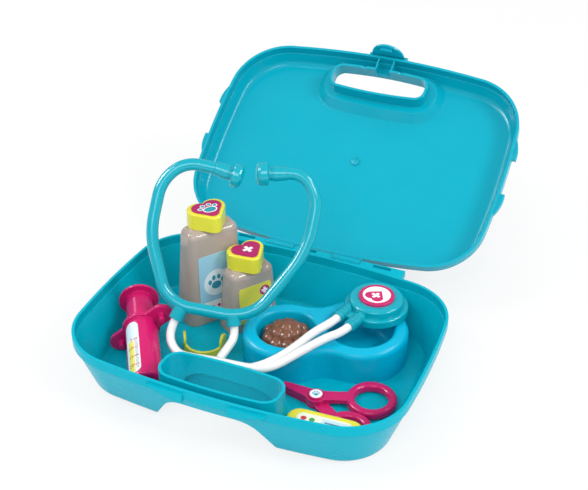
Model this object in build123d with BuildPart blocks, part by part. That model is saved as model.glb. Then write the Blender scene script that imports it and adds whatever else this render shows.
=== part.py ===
"""A toy vet case: a hinged carry case with its latch, packed with a stethoscope, two bottles,
a syringe, a double bowl of kibble, scissors, a thermometer and a collar band.

Millimetres, +Z up. The origin is the middle of the case's underside, and the front is -Y.
The lid is drawn closed and then swung open about the hinge line, as the case stands here.
"""
from build123d import *
import os
from math import acos, atan2, cos, hypot, pi, radians, sin, sqrt, tan

os.makedirs("parts", exist_ok=True)

# The plan of the case: four bowed sides and four rounded corners.
case_width = 300.0
case_depth = 221.7
side_bow_front = 5.1
side_bow_back = 7.7
front_bow = 12.95
back_bow = 13.85
widest_y = -10.25
front_corner_radius = 55.9
back_corner_radius = 53.4
wall = 2.5

# Heights of the base and of the lid, and how far their sides draw in.
base_height = 50.0
band_height = 8.5
band_step = 1.0
base_draw_in = 16.0
foot_radius = 6.0
lid_height = 23.0
lid_draw_in = 6.0
lid_edge_radius = 9.0

# The hand slot that runs through the base and the lid, and the arch under it.
grip_centre_y = -81.0
grip_half_length = 53.6
grip_half_width = 19.0
grip_side_bow = 3.3
grip_corner_radius = 14.5
grip_top = 48.1
arch_height = 31.0
arch_shoulder_x = 35.5
arch_foot_x = 55.3
arch_shoulder_radius = 22.0
arch_back_y = -58.0
lid_grip_clearance = 1.2
lid_grip_draw_in = 1.5
lid_arch_depth = 8.0
lid_recess_grow = 4.0
recess_run = 10.0

# The raised grip pads that flank the latch and those on the lid's two short sides.
pad_inner_x = 19.5
pad_length = 32.5
pad_height = 7.8
pad_stand_out = 1.7
side_pad_length = 30.0
side_pad_stand_out = 5.0
side_pad_height = 4.0
side_pad_places = (-40.0, 28.0)

# The hinge: round pins on the base, and clips on the lid that turn on them.
hinge_y = 115.3
hinge_z = 48.1
hinge_half_length = 89.0
hinge_back_y = 118.3
hinge_rail_height = 6.4
hinge_pin_radius = 2.0
hinge_running_gap = 0.06
knuckle_wall = 1.55
pin_start_x = 19.0
pin_length = 27.5
clip_end_gap = 0.3
clip_plate_thickness = 2.4
window_start_x = 59.0
window_length = 17.0
centre_slot_width = 6.0
open_angle = 148.1

# The latch on the lid's front, its pin and its ears.
latch_half_width = 16.6
latch_thickness = 2.4
latch_pin_radius = 1.4
latch_barrel_radius = 2.6
latch_pin_z = 55.0
latch_reach = 20.7
latch_gap = 1.6
latch_ear_thickness = 2.6
latch_hook_width = 12.0
latch_hook_height = 2.2
latch_hook_depth = 2.4
notch_x = 19.0
notch_radius = 3.4
channel_half_width = 7.2
channel_depth = 12.0
rib_thickness = 1.6
clip_mouth = 3.2
clip_mouth_angle = 20.0

# The double bowl: two round wells in one body with a drawn-in waist.
left_well_x = 15.2
left_well_y = 17.3
well_spacing = 64.7
bowl_turn = 25.9
bowl_height = 31.1
left_lobe_radius = 38.7
right_lobe_radius = 41.8
waist_radius = 28.0
bowl_rim_width = 12.5
bowl_rim_radius = 6.0
well_rim_radius = 4.0
bowl_wall = 2.2
well_depth = 23.0
well_floor_radius = 5.0
well_draft = 8.0

# The kibble's rings of round pieces: (count, ring radius, height).
kibble_radius = 6.8
kibble_base_radius = 17.0
heap_rings = ((9, 15.2, 13.6), (6, 8.4, 19.0), (1, 0.0, 21.5))

# The two bottles: a shared form, each with its own place and size.
bottle_front_angle = -34.8
bottle_depth = 28.0
bottle_taper_width = 0.82
bottle_taper_depth = 0.82
bottle_wall = 1.8
bottle_shoulder_radius = 7.0
neck_radius = 8.0
neck_height = 8.0
cap_fit = 0.1
cap_height = 15.5
cap_top_radius = 1.5
label_thickness = 0.5
sticker_thickness = 0.6
sticker_share = 0.78

# The syringe: barrel, plunger and finger wings, and how it lies.
barrel_radius = 14.5
barrel_wall = 2.4
barrel_length = 71.0
nozzle_radius = 4.0
nozzle_length = 4.5
plunger_gap = 0.15
plunger_out = 33.0
plunger_inside = 36.0
thumb_disc_radius = 17.8
disc_thickness = 3.0
disc_edge_radius = 1.2
wing_half_length = 33.0
wing_half_width = 10.0
wing_thickness = 3.2
collar_ring_radius = 16.6
wing_roll = 38.0
syringe_tilt = 7.0
syringe_heading = (-0.53, 0.848)
collar_place = (-106.3, -23.1)
syringe_label_width = 13.0
syringe_label_length = 60.0

# The scissors: two finger rings with necks and short round-nosed blades.
pivot_x = 62.4
pivot_y = -30.9
ring_centre_reach = 46.5
ring_outer_radius = 21.5
ring_hole_radius = 14.0
ring_thickness = 8.5
ring_edge_radius = 3.2
half_thickness = 4.0
layer_gap = 0.15
blade_length = 32.0
blade_root_width = 12.5
blade_tip_radius = 3.0
upper_ring_angle = 20.6
neck_reach = 29.5
blade_offset_angle = 28.0
neck_width = 11.0
boss_radius = 8.5
pivot_pin_radius = 3.2
pivot_head_radius = 6.6
pivot_head_height = 1.4
pivot_gap = 0.08
scissors_floor_gap = 0.05

# The thermometer: a rounded grip.
thermometer_x = 87.0
thermometer_y = -76.0
thermometer_length = 64.0
thermometer_width = 26.0
thermometer_thickness = 14.5
thermometer_edge_radius = 4.0
thermometer_label_length = 46.0
thermometer_label_width = 12.5
thermometer_turn = 3.0

# The collar band: an open ring with a round lobe at each end.
band_x = -57.0
band_y = 1.0
band_radius = 18.5
band_thickness = 2.2
band_front_height = 7.0
lobe_height = 17.0
lobe_width = 13.0
lobe_turn = 78.0
band_heading = -73.0

# The stethoscope's hoop: its plane, and each side's route and bend radii in that plane.
yoke_place = (-50.7, -6.0, 47.9)
headset_turn = 22.6
headset_lean = 32.0
headset_roll = 11.0
bar_radius = 5.3
yoke_radius = 5.9
left_route = ((0, 0.3), (-20, 0), (-37.4, 6.3), (-60.4, 55.5), (-60, 101), (-44.3, 122.6), (-15.9, 122.4))
left_radii = (30, 28, 78, 36, 28)
right_route = ((0, 0.3), (20, 0.6), (42.6, 6.3), (75.3, 67.9), (75.3, 111.7), (60.8, 132.4), (45, 130.2))
right_radii = (30, 36, 88, 31.7, 18.8)
left_seams = (50.4, 101.3)
right_seams = (57.3, 107.3)
left_socket = ((-21.7, -1.7), (-24.5, -12.0))
right_socket = ((23.7, 0.4), (26.3, -7.9))
socket_radius = 6.2
left_tip_end = (8.6, 118.9)
right_tip_end = (18.9, 124.5)
# The collar and tip of each ear piece.
ear_collar_length = 12.0
ear_collar_radius = 6.6
ear_tip_radius = 10.2

# The chest piece and the ribbed sleeves that join it to the two tubes.
chest_x = 78.0
chest_y = 71.4
chest_radius = 28.5
chest_body_height = 8.4
chest_edge_radius = 2.0
chest_cap_radius = 24.2
chest_cap_height = 6.5
chest_cap_edge_radius = 2.5
chest_label_radius = 15.8
chest_label_height = 2.5
chest_label_edge_radius = 0.8
sleeve_heading = (0.277, 0.961)
right_sleeve_mouth = (53.9, 38.4)
left_sleeve_mouth = (67.3, 30.0)
sleeve_z = 41.0
sleeve_radius = 5.0
sleeve_length = 25.0
rib_count = 4
rib_start = 1.0
rib_pitch = 4.0
rib_width = 2.0
rib_radius = 5.6
web_setback = 8.0
web_thickness = 3.0

# The soft tubes: their first points lie on the axes of the yoke's sockets.
tube_radius = 3.75
left_tube_exit_run = 10.0
right_tube_exit_run = 9.0
left_tube_route = ((-71.8, -33.5, 26.0), (-60.0, -41.5, 23.5), (-45.0, -46.5, 28.5), (-26.0, -50.2, 34.5),
                   (-4.0, -54.3, 39.6), (16.0, -56.3, 42.9), (30.5, -48.5, 43.0), (43.0, -18.5, 42.0),
                   (55.4, 8.0, 41.3))
right_tube_route = ((-24.4, -19.0, 25.0), (-26.0, -34.5, 22.5), (-19.0, -44.0, 23.3), (-2.0, -48.0, 30.0),
                    (16.0, -46.3, 37.3), (27.5, -31.5, 38.8), (35.5, -10.5, 39.0), (41.8, 13.0, 39.5))
tube_entry_run = 10.1
touch_gap = 0.02


def disc_inside(arc, inset):
    """Keeps what lies inside an arc's full circle, drawn in by an inset."""
    with Locations(arc.arc_center):
        Circle(arc.radius - inset, mode=Mode.INTERSECT)


def case_plan(height, inset):
    """The case's outline at one height, drawn in by an inset."""
    front_y = -case_depth / 2
    back_y = case_depth / 2
    front_x = case_width / 2 - side_bow_front
    back_x = case_width / 2 - side_bow_back
    front_arc = ThreePointArc((-front_x, front_y + front_bow), (0, front_y), (front_x, front_y + front_bow))
    back_arc = ThreePointArc((-back_x, back_y - back_bow), (0, back_y), (back_x, back_y - back_bow))
    right_arc = ThreePointArc((front_x, front_y + front_bow), (case_width / 2, widest_y),
                              (back_x, back_y - back_bow))
    left_arc = ThreePointArc((-front_x, front_y + front_bow), (-case_width / 2, widest_y),
                             (-back_x, back_y - back_bow))
    with BuildSketch(Plane.XY.offset(height)) as plan:
        Rectangle(2 * case_width, 2 * case_depth)
        disc_inside(front_arc, inset)
        disc_inside(back_arc, inset)
        disc_inside(right_arc, inset)
        disc_inside(left_arc, inset)
        corners = plan.vertices().sort_by(Axis.Y)
        fillet(corners[:2], front_corner_radius - inset)
        corners = [corner for corner in plan.vertices() if corner.Y > case_depth / 3]
        corners = [corner for corner in corners if abs(corner.X) > case_width / 3]
        fillet(corners, back_corner_radius - inset)
    return plan.sketch


def grip_plan(height, inset):
    """The hand slot's outline at one height: long bowed sides and round ends."""
    end_half_width = grip_half_width - grip_side_bow
    front_arc = ThreePointArc((-grip_half_length, grip_centre_y - end_half_width),
                              (0, grip_centre_y - grip_half_width),
                              (grip_half_length, grip_centre_y - end_half_width))
    back_arc = ThreePointArc((-grip_half_length, grip_centre_y + end_half_width),
                             (0, grip_centre_y + grip_half_width),
                             (grip_half_length, grip_centre_y + end_half_width))
    with BuildSketch(Plane.XY.offset(height)) as plan:
        with Locations((0, grip_centre_y)):
            Rectangle(2 * (grip_half_length - inset), 4 * grip_half_width)
        disc_inside(front_arc, inset)
        disc_inside(back_arc, inset)
        fillet(plan.vertices(), grip_corner_radius - inset)
    return plan.sketch


def finger_arch(back_y, foot_x, shoulder_x, height, grow):
    """The outline, seen from the front, of the recess that fingers reach through."""
    side_length = hypot(height, foot_x - shoulder_x)
    widening = grow * side_length / height
    narrowing = grow * (foot_x - shoulder_x) / height
    with BuildSketch(Plane.XZ.offset(-back_y)) as profile:
        with BuildLine():
            FilletPolyline((-foot_x - widening, 0), (-shoulder_x - widening + narrowing, height + grow),
                           (shoulder_x + widening - narrowing, height + grow), (foot_x + widening, 0),
                           radius=arch_shoulder_radius + grow)
            Polyline((foot_x + widening, 0), (foot_x + widening, -height), (-foot_x - widening, -height),
                     (-foot_x - widening, 0))
        make_face()
    return profile.sketch


def rail_outline(x_start, back_y):
    """The side view of the hinge rail: a flat shelf behind the base's rim."""
    with BuildSketch(Plane.YZ.offset(x_start)) as profile:
        with BuildLine():
            Polyline((case_depth / 2 - back_bow, base_height - hinge_rail_height),
                     (back_y, base_height - hinge_rail_height), (back_y, rail_top),
                     (case_depth / 2 - back_bow, rail_top), close=True)
        make_face()
    return profile.sketch


# Values that follow from those above.
floor_z = wall
band_bottom = base_height - band_height
base_slope = (base_draw_in - band_step) / band_bottom
side_wall = wall * sqrt(1 + base_slope ** 2)
lid_band_top = base_height + band_height
lid_top = base_height + lid_height
rail_top = base_height - 0.4
knuckle_bore = hinge_pin_radius + hinge_running_gap
knuckle_radius = knuckle_bore + knuckle_wall
channel_back_y = grip_centre_y - grip_half_width + wall + lid_grip_clearance + wall / 2
clip_root_y = case_depth / 2 - wall


def base_inset(height):
    """How far the base's outer side lies inside the rim, at a height below the band."""
    return band_step + base_slope * (band_bottom - height)


# The space inside the base, less the wall round the hand slot and the arch below it.
with BuildPart() as base_space:
    loft([case_plan(wall, base_inset(wall) + side_wall), case_plan(band_bottom, band_step + side_wall)],
         ruled=True)
    fillet(base_space.faces().sort_by(Axis.Z)[0].edges(), foot_radius - wall)
    extrude(case_plan(band_bottom, wall), amount=band_height + wall)
    extrude(grip_plan(0, 0), amount=grip_top, mode=Mode.SUBTRACT)
    extrude(finger_arch(arch_back_y + wall, arch_foot_x, arch_shoulder_x, arch_height, wall),
            amount=case_depth, mode=Mode.SUBTRACT)

# The base: a tapered tray under a straight rim band, with the hinge rail at its back.
with BuildPart() as base_tray:
    loft([case_plan(0, base_inset(0)), case_plan(band_bottom, band_step)], ruled=True)
    fillet(base_tray.faces().sort_by(Axis.Z)[0].edges(), foot_radius)
    extrude(case_plan(band_bottom, 0), amount=band_height)
    extrude(rail_outline(-hinge_half_length, hinge_back_y), amount=2 * hinge_half_length)
    add(base_space.part, mode=Mode.SUBTRACT)
    extrude(finger_arch(arch_back_y, arch_foot_x, arch_shoulder_x, arch_height, 0), amount=case_depth,
            mode=Mode.SUBTRACT)
    extrude(grip_plan(-wall, wall), amount=base_height + 2 * wall, mode=Mode.SUBTRACT)
    # The rail is cut away where the lid's clips turn, at the two windows and at the middle.
    for side in (-1, 1):
        with Locations((side * (pin_start_x + pin_length / 2), hinge_y, hinge_z)):
            Cylinder(knuckle_radius + clip_end_gap, pin_length, rotation=(0, 90, 0), mode=Mode.SUBTRACT)
        with Locations((side * (pin_start_x + pin_length / 2), hinge_y, rail_top)):
            Box(pin_length, 2 * (knuckle_radius + clip_end_gap), 2 * (rail_top - hinge_z), mode=Mode.SUBTRACT)
        with Locations((side * (pin_start_x + pin_length / 2), hinge_y + knuckle_radius, hinge_z)):
            Box(pin_length, 2 * knuckle_radius, 4 * hinge_rail_height, mode=Mode.SUBTRACT)
        with Locations((side * (window_start_x + window_length / 2), hinge_y - 0.5, base_height)):
            Box(window_length, hinge_pin_radius * 2, 4 * hinge_rail_height, mode=Mode.SUBTRACT)
        with Locations((side * (pin_start_x + pin_length / 2), hinge_y, hinge_z)):
            Cylinder(hinge_pin_radius, pin_length, rotation=(0, 90, 0))
    with Locations((0, hinge_y, base_height)):
        Box(centre_slot_width, hinge_pin_radius * 2, 4 * hinge_rail_height, mode=Mode.SUBTRACT)


def lid_inset(height):
    """How far the lid's outer side lies inside the rim, at a height above the band."""
    return band_step + lid_draw_in * (height - lid_band_top) / (lid_top - lid_band_top)


def grip_pad(x_start, x_end, drop):
    """One raised pad on the front band: blunt next to the latch and running out to a point."""
    with BuildSketch(Plane.XZ.offset(case_depth / 2 - wall)) as outline:
        with BuildLine():
            Line((x_start, pad_top), (x_end, pad_top))
            ThreePointArc((x_end, pad_top), ((x_start + x_end) / 2, pad_top - 0.75 * drop),
                          (x_start, pad_top - drop))
            Line((x_start, pad_top - drop), (x_start, pad_top))
        make_face()
    return outline.sketch


def side_pad(side, blunt_y, point_y):
    """One raised pad on a short side of the lid, seen from above."""
    wall_x = case_width / 2 - wall / 2
    with BuildSketch(Plane.XY.offset(lid_band_top - band_height / 2 - side_pad_height / 2)) as outline:
        with BuildLine():
            Polyline((side * (wall_x - side_bow_front), point_y), (side * (wall_x - wall), blunt_y),
                     (side * (wall_x + side_pad_stand_out), blunt_y))
            ThreePointArc((side * (wall_x + side_pad_stand_out), blunt_y),
                          (side * (wall_x + side_pad_stand_out - 1.5), (blunt_y + point_y) / 2),
                          (side * (wall_x - side_bow_front), point_y))
        make_face()
    return outline.sketch


pad_top = base_height - 3.0
latch_pin_y = -case_depth / 2 - latch_barrel_radius - 0.4
grip_rim_inset = wall + lid_grip_clearance
grip_root_inset = grip_rim_inset - lid_grip_draw_in
recess_floor = lid_top - lid_arch_depth

with BuildPart() as front_pads:
    extrude(grip_pad(pad_inner_x, pad_inner_x + pad_length, pad_height), amount=wall + pad_stand_out)
    extrude(grip_pad(-pad_inner_x, -pad_inner_x - pad_length, pad_height), amount=wall + pad_stand_out)

with BuildPart() as case_base:
    add(base_tray.part)
    add(front_pads.part)
    add(base_space.part, mode=Mode.SUBTRACT)
case_base.part.label = "case_base"
export_step(case_base.part, "parts/case_base.step")

# The space inside the lid, less the wall round the hand slot and its recess.
with BuildPart() as lid_space:
    extrude(case_plan(base_height - wall, wall), amount=band_height + wall)
    loft([case_plan(lid_band_top, band_step + side_wall),
          case_plan(lid_top - wall, lid_inset(lid_top - wall) + wall)], ruled=True)
    fillet(lid_space.faces().sort_by(Axis.Z)[-1].edges(), lid_edge_radius - wall)
    loft([grip_plan(recess_floor - wall, -lid_recess_grow), grip_plan(lid_top, -lid_recess_grow - recess_run)],
         ruled=True, mode=Mode.SUBTRACT)
    loft([grip_plan(grip_top, grip_rim_inset), grip_plan(lid_top, grip_root_inset)], ruled=True,
         mode=Mode.SUBTRACT)

# The lid, drawn closed: a shallow cover with its own rim band, hinge clips and latch ears.
with BuildPart() as closed_lid:
    extrude(case_plan(base_height, 0), amount=band_height)
    loft([case_plan(lid_band_top, band_step), case_plan(lid_top, lid_inset(lid_top))], ruled=True)
    fillet(closed_lid.faces().sort_by(Axis.Z)[-1].edges(), lid_edge_radius)
    for side in (-1, 1):
        extrude(side_pad(side, side_pad_places[0] + side_pad_length / 2,
                         side_pad_places[0] - side_pad_length / 2), amount=side_pad_height)
        extrude(side_pad(side, side_pad_places[1] - side_pad_length / 2,
                         side_pad_places[1] + side_pad_length / 2), amount=side_pad_height)
    add(lid_space.part, mode=Mode.SUBTRACT)
    loft([grip_plan(recess_floor, -lid_recess_grow + wall),
          grip_plan(lid_top + wall, -lid_recess_grow - recess_run)], ruled=True, mode=Mode.SUBTRACT)
    # The hand slot through the lid, with a stepped lip and two snap notches at its rim.
    loft([grip_plan(grip_top - wall, grip_rim_inset + wall), grip_plan(lid_top + wall, grip_root_inset + wall)],
         ruled=True, mode=Mode.SUBTRACT)
    for x in (-notch_x, notch_x):
        with Locations((x, grip_centre_y - grip_half_width + grip_rim_inset + wall / 2, grip_top)):
            Cylinder(notch_radius, 3 * wall, rotation=(90, 0, 0), mode=Mode.SUBTRACT)
    # The channel between the slot's front wall and the lid's front wall, open to the slot.
    with Locations((0, grip_centre_y - grip_half_width + grip_rim_inset + wall / 2, grip_top)):
        Box(2 * channel_half_width, 3 * wall, 2 * channel_depth, mode=Mode.SUBTRACT)
    for x in (-channel_half_width - rib_thickness, channel_half_width):
        with BuildSketch(Plane.YZ.offset(x)):
            with BuildLine():
                Polyline((-case_depth / 2 + wall / 2, base_height + 0.8), (channel_back_y, grip_top + 4.0),
                         (channel_back_y, recess_floor), (-case_depth / 2 + wall / 2, recess_floor), close=True)
            make_face()
        extrude(amount=rib_thickness)
    # Two ears on the front band hold the latch's pin.
    for x in (-latch_half_width - 0.3 - latch_ear_thickness, latch_half_width + 0.3):
        with BuildSketch(Plane.YZ.offset(x)):
            with Locations((latch_pin_y, latch_pin_z)):
                Circle(latch_barrel_radius)
            with Locations(((latch_pin_y - case_depth / 2 + wall / 2) / 2, latch_pin_z)):
                Rectangle(abs(latch_pin_y + case_depth / 2 - wall / 2), 2 * latch_barrel_radius)
            with Locations((latch_pin_y, latch_pin_z)):
                Circle(latch_pin_radius + hinge_running_gap, mode=Mode.SUBTRACT)
        extrude(amount=latch_ear_thickness)
    # Two clips turn on the base's hinge pins. Each is open at the back, where it snaps on.
    for side in (-1, 1):
        x_start = min(side * (pin_start_x + clip_end_gap), side * (pin_start_x + pin_length - clip_end_gap))
        with BuildSketch(Plane.YZ.offset(x_start)):
            with Locations((hinge_y, hinge_z)):
                Circle(knuckle_radius)
            with BuildLine():
                Polyline((clip_root_y, base_height + 0.3), (hinge_y, base_height + 0.3),
                         (hinge_y, base_height + 0.3 + clip_plate_thickness),
                         (clip_root_y, base_height + 0.3 + clip_plate_thickness), close=True)
            make_face()
            with Locations((hinge_y, hinge_z)):
                Circle(knuckle_bore, mode=Mode.SUBTRACT)
            with Locations((hinge_y + knuckle_radius * cos(radians(clip_mouth_angle)),
                            hinge_z + knuckle_radius * sin(radians(clip_mouth_angle)))):
                Rectangle(2 * knuckle_radius, clip_mouth, rotation=clip_mouth_angle, mode=Mode.SUBTRACT)
        extrude(amount=pin_length - 2 * clip_end_gap)

hinge_line = Axis((0, hinge_y, hinge_z), (1, 0, 0))
case_lid = closed_lid.part.rotate(hinge_line, -open_angle)
case_lid.label = "case_lid"
export_step(case_lid, "parts/case_lid.step")

# The latch: a round tongue with a barrel on its pin and a hook that grips under the base's band.
latch_face_y = latch_pin_y + latch_barrel_radius - latch_gap
with BuildPart() as closed_latch:
    with BuildSketch(Plane.XZ.offset(-latch_face_y)):
        with BuildLine():
            Line((-latch_half_width, latch_pin_z), (latch_half_width, latch_pin_z))
            Line((latch_half_width, latch_pin_z),
                 (latch_half_width, latch_pin_z - latch_reach + latch_half_width))
            ThreePointArc((latch_half_width, latch_pin_z - latch_reach + latch_half_width),
                          (0, latch_pin_z - latch_reach),
                          (-latch_half_width, latch_pin_z - latch_reach + latch_half_width))
            Line((-latch_half_width, latch_pin_z - latch_reach + latch_half_width),
                 (-latch_half_width, latch_pin_z))
        make_face()
    extrude(amount=latch_thickness)
    fillet(closed_latch.faces().sort_by(Axis.Y)[0].edges().sort_by(Axis.Z)[0], 0.8)
    with Locations((0, latch_pin_y, latch_pin_z)):
        Cylinder(latch_barrel_radius, 2 * latch_half_width, rotation=(0, 90, 0))
        Cylinder(latch_pin_radius, 2 * (latch_half_width + 0.3 + latch_ear_thickness), rotation=(0, 90, 0))
    with Locations((0, latch_face_y + latch_hook_depth / 2, band_bottom - 0.3 - latch_hook_height / 2)):
        Box(latch_hook_width, latch_hook_depth, latch_hook_height)
    with Locations((0, latch_face_y + latch_hook_depth / 4, band_bottom - 0.3)):
        Box(rib_thickness, latch_hook_depth / 2, 3 * latch_hook_height)
latch = closed_latch.part.rotate(hinge_line, -open_angle)
latch.label = "latch"
export_step(latch, "parts/latch.step")

# The double bowl: two round wells in one body with a drawn-in waist.

bowl_plane = Plane(origin=(left_well_x, left_well_y, floor_z),
                   x_dir=(cos(radians(bowl_turn)), sin(radians(bowl_turn)), 0), z_dir=(0, 0, 1))


def bowl_plan(height, inset):
    """The bowl's two-lobed outline at a height above the case's floor."""
    with BuildSketch(bowl_plane.offset(height)) as plan:
        Circle(left_lobe_radius - inset)
        with Locations((well_spacing, 0)):
            Circle(right_lobe_radius - inset)
        crossings = plan.vertices().sort_by_distance(bowl_plane.offset(height).from_local_coords(
            Vector(well_spacing / 2, 0, 0)))
        fillet(crossings[:2], waist_radius + inset)
    return plan.sketch


with BuildPart() as bowl_wells:
    for place, lobe in ((0, left_lobe_radius), (well_spacing, right_lobe_radius)):
        with BuildSketch(bowl_plane.offset(bowl_height)):
            with Locations((place, 0)):
                Circle(lobe - bowl_rim_width)
        extrude(amount=-well_depth, taper=well_draft)
    fillet(bowl_wells.faces().group_by(Axis.Z)[0].edges(), well_floor_radius)

with BuildPart() as bowl_hollow:
    extrude(bowl_plan(0, bowl_wall), amount=bowl_height - bowl_rim_radius)
    extrude(bowl_plan(0, 2 * bowl_wall), amount=bowl_height - bowl_wall)
    for place, lobe in ((0, left_lobe_radius), (well_spacing, right_lobe_radius)):
        with BuildSketch(bowl_plane.offset(bowl_height)):
            with Locations((place, 0)):
                Circle(lobe - bowl_rim_width + bowl_wall)
        extrude(amount=-well_depth - bowl_wall, taper=well_draft, mode=Mode.SUBTRACT)

with BuildPart() as pet_bowl:
    extrude(bowl_plan(0, 0), amount=bowl_height)
    fillet(pet_bowl.faces().sort_by(Axis.Z)[-1].edges(), bowl_rim_radius)
    add(bowl_wells.part, mode=Mode.SUBTRACT)
    fillet(pet_bowl.faces().sort_by(Axis.Z)[-1].inner_wires().edges(), well_rim_radius)
    add(bowl_hollow.part, mode=Mode.SUBTRACT)
pet_bowl.part.label = "pet_bowl"
export_step(pet_bowl.part, "parts/pet_bowl.step")

# The kibble: one moulded heap of round pieces in the left well.
heap_base_z = floor_z + bowl_height - well_depth

with BuildPart() as kibble:
    with BuildSketch(bowl_plane.offset(heap_base_z - floor_z)):
        Circle(kibble_base_radius)
    extrude(amount=heap_rings[0][2])
    for count, ring_radius, height in heap_rings:
        for k in range(count):
            turn = radians(360 / count * k + 17 * height)
            place = bowl_plane.offset(heap_base_z - floor_z + height).from_local_coords(
                Vector(ring_radius * cos(turn), ring_radius * sin(turn), 0))
            with Locations(place):
                Sphere(kibble_radius)
kibble.part.label = "kibble"
export_step(kibble.part, "parts/kibble.step")

# The two bottles. Their fronts look the same way, and the wide side runs across it.


def bottle_plane(x, y):
    """The floor plane of a bottle, with its wide side along X and its front on -Y."""
    front = radians(bottle_front_angle)
    return Plane(origin=(x, y, floor_z), x_dir=(-sin(front), cos(front), 0), z_dir=(0, 0, 1))


def bottle_section(plane, height, width, depth, grow, shift=0.0):
    """One level section of a bottle, moved back by shift."""
    with BuildSketch(plane.offset(height)) as section:
        with Locations((0, shift)):
            RectangleRounded(width + 2 * grow, depth + 2 * grow, 0.32 * depth + grow)
    return section.sketch


def bottle_form(plane, width, height, grow, back=0.0):
    """A bottle's tapered outer form, grown or drawn in; back is how much its foot runs out to the rear."""
    with BuildPart() as form:
        loft([bottle_section(plane, -min(grow, 0), width, bottle_depth + back, grow, back / 2),
              bottle_section(plane, height + grow, width * bottle_taper_width,
                             bottle_depth * bottle_taper_depth, grow)], ruled=True)
        fillet(form.faces().sort_by(Axis.Z)[-1].edges(), bottle_shoulder_radius + grow)
    return form.part


def heart(plane, width):
    """A rounded heart with its point towards the front."""
    lobe = 0.29 * width
    lobe_place = Vector(0.21 * width, 0.12 * width)
    tip = 0.19 * width
    tip_place = Vector(0, -0.29 * width)
    run = tip_place - lobe_place
    turn = atan2(run.Y, run.X) + acos((lobe - tip) / run.length)
    side = Vector(cos(turn), sin(turn))
    upper = lobe_place + side * lobe
    lower = tip_place + side * tip
    notch = plane.from_local_coords(Vector(0, lobe_place.Y + sqrt(lobe ** 2 - lobe_place.X ** 2), 0))
    with BuildSketch(plane) as shape:
        with Locations(lobe_place, (-lobe_place.X, lobe_place.Y)):
            Circle(lobe)
        with Locations(tip_place):
            Circle(tip)
        with BuildLine():
            Polyline(upper, lower, (-lower.X, lower.Y), (-upper.X, upper.Y), close=True)
        make_face()
        fillet(shape.vertices().sort_by_distance(notch)[0], 0.12 * lobe)
    return shape.sketch


def make_bottle(name, x, y, width, height, cap_width, label_low, label_high, label_width, back):
    """A hollow bottle, its heart-shaped cap, the cap's sticker and the front label."""
    plane = bottle_plane(x, y)
    with BuildPart() as body:
        add(bottle_form(plane, width, height, 0, back))
        with BuildSketch(plane.offset(height - bottle_wall)):
            Circle(neck_radius)
        extrude(amount=neck_height + bottle_wall)
        add(bottle_form(plane, width, height, -bottle_wall, back), mode=Mode.SUBTRACT)
        with BuildSketch(plane.offset(height - 2 * bottle_wall)):
            Circle(neck_radius - bottle_wall)
        extrude(amount=neck_height + 3 * bottle_wall, mode=Mode.SUBTRACT)
    with BuildPart() as cap:
        extrude(heart(plane.offset(height), cap_width), amount=cap_height)
        fillet(cap.faces().sort_by(Axis.Z)[-1].edges(), cap_top_radius)
        with BuildSketch(plane.offset(height)):
            Circle(neck_radius + cap_fit)
        extrude(amount=neck_height + cap_fit, mode=Mode.SUBTRACT)
    with BuildPart() as sticker:
        extrude(heart(plane.offset(height + cap_height), cap_width * sticker_share), amount=sticker_thickness)
    with BuildPart() as label:
        add(bottle_form(plane, width, height, label_thickness, back))
        with BuildSketch(Plane(origin=plane.from_local_coords(Vector(0, -bottle_depth, 0)),
                               x_dir=plane.x_dir, z_dir=-plane.y_dir)):
            with Locations((0, (label_low + label_high) / 2)):
                RectangleRounded(label_width, label_high - label_low, 3.0)
        extrude(amount=-bottle_depth, mode=Mode.INTERSECT)
        add(bottle_form(plane, width, height, 0, back), mode=Mode.SUBTRACT)
    for piece, part_name in ((body, name), (cap, name + "_cap"), (sticker, name + "_cap_sticker"),
                             (label, name + "_label")):
        piece.part.label = part_name
        export_step(piece.part, "parts/" + part_name + ".step")


make_bottle("large_bottle", -74.1, 50.5, 60.0, 96.0, 36.0, 10.0, 72.0, 37.0, 4.0)
make_bottle("small_bottle", -37.8, 52.5, 52.0, 61.0, 35.0, 8.0, 46.0, 33.0, 0.0)

# The syringe lies on the floor, held up at its front end and by the lower tip of its finger wings.

wing_tip_drop = (wing_half_length - wing_half_width) * sin(radians(wing_roll)) + wing_half_width
collar_height = (floor_z + wing_tip_drop * cos(radians(syringe_tilt))
                 + wing_thickness * sin(radians(syringe_tilt)) + 0.05)
heading = Vector(syringe_heading[0], syringe_heading[1], 0).normalized()
syringe_axis = heading * cos(radians(syringe_tilt)) + Vector(0, 0, sin(radians(syringe_tilt)))
across = Vector(heading.Y, -heading.X, 0)
upward = across.cross(syringe_axis)
wing_direction = across * cos(radians(wing_roll)) + upward * sin(radians(wing_roll))
syringe_plane = Plane(origin=(collar_place[0], collar_place[1], collar_height), x_dir=wing_direction,
                      z_dir=syringe_axis)
plunger_radius = barrel_radius - barrel_wall - plunger_gap

with BuildPart() as syringe_barrel:
    with BuildSketch(syringe_plane.offset(-barrel_length)):
        Circle(barrel_radius)
    extrude(amount=barrel_length)
    fillet(syringe_barrel.edges().sort_by(lambda e: syringe_plane.to_local_coords(e.center()).Z)[0], 3.0)
    with BuildSketch(syringe_plane.offset(-wing_thickness)):
        SlotOverall(2 * wing_half_length, 2 * wing_half_width)
        Circle(collar_ring_radius)
    extrude(amount=wing_thickness)
    with BuildSketch(syringe_plane.offset(-barrel_length - nozzle_length)):
        Circle(nozzle_radius)
    extrude(amount=nozzle_length + barrel_wall)
    with BuildSketch(syringe_plane.offset(-barrel_length + barrel_wall)):
        Circle(barrel_radius - barrel_wall)
    extrude(amount=barrel_length, mode=Mode.SUBTRACT)
    for x in (-wing_half_length + wing_half_width, wing_half_length - wing_half_width):
        with BuildSketch(syringe_plane.offset(-wing_thickness)):
            with Locations((x, 0)):
                Circle(2.6)
        extrude(amount=-7.0)
syringe_barrel.part.label = "syringe_barrel"
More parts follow.
